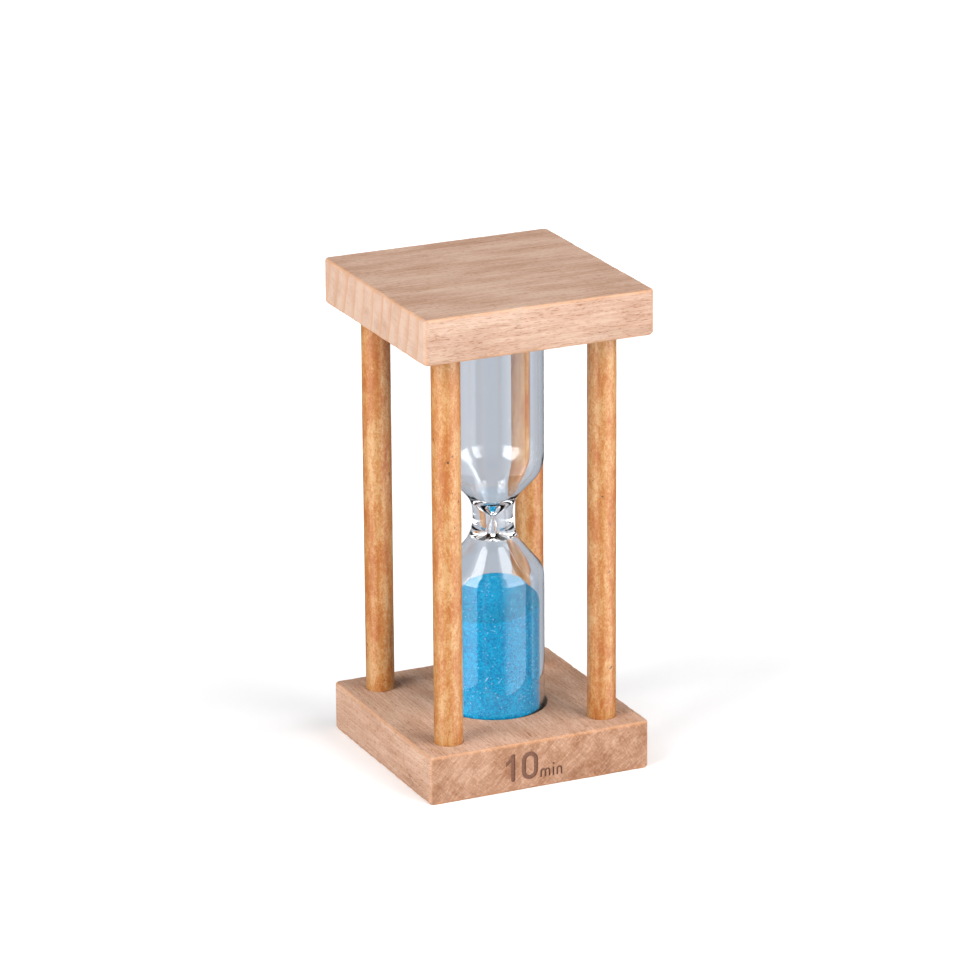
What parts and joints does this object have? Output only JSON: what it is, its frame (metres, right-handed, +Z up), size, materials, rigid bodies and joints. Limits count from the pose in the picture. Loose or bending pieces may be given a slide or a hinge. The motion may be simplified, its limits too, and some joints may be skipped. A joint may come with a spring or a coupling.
{
  "type": "hourglass",
  "caption": "Sand timer: pinched glass vial with blue sand, captive between two square beech plates joined by round wooden posts; the vial turns in its seats.",
  "frame": {"origin": "centre of the base plate's underside, which is the face that the timer stands on", "axes": "+Z up through the timer, +X to the right along the numbered front face, +Y away from that face"},
  "size_m": [0.0512, 0.0512, 0.104],
  "materials": {
    "beech": "satin",
    "stained_beech": "satin",
    "felt": "matte",
    "vial_glass": "polished",
    "silicone": "satin",
    "blue_sand": "matte"
  },
  "bodies": {
    "frame": {"base_plate": "beech", "top_plate": "beech", "post_front_left": "stained_beech", "post_front_right": "stained_beech", "post_back_left": "stained_beech", "post_back_right": "stained_beech", "lower_seat_pad": "felt", "upper_seat_pad": "felt"},
    "vial": {"glass_vial": "vial_glass", "fill_plug": "silicone", "sand": "blue_sand"}
  },
  "joints": [
    {"name": "vial_turn", "type": "hinge", "parent": "frame", "child": "vial", "pos_m": [0.0007, -0.0004, 0.052], "axis": [0, 0, 1], "continuous": true}
  ]
}
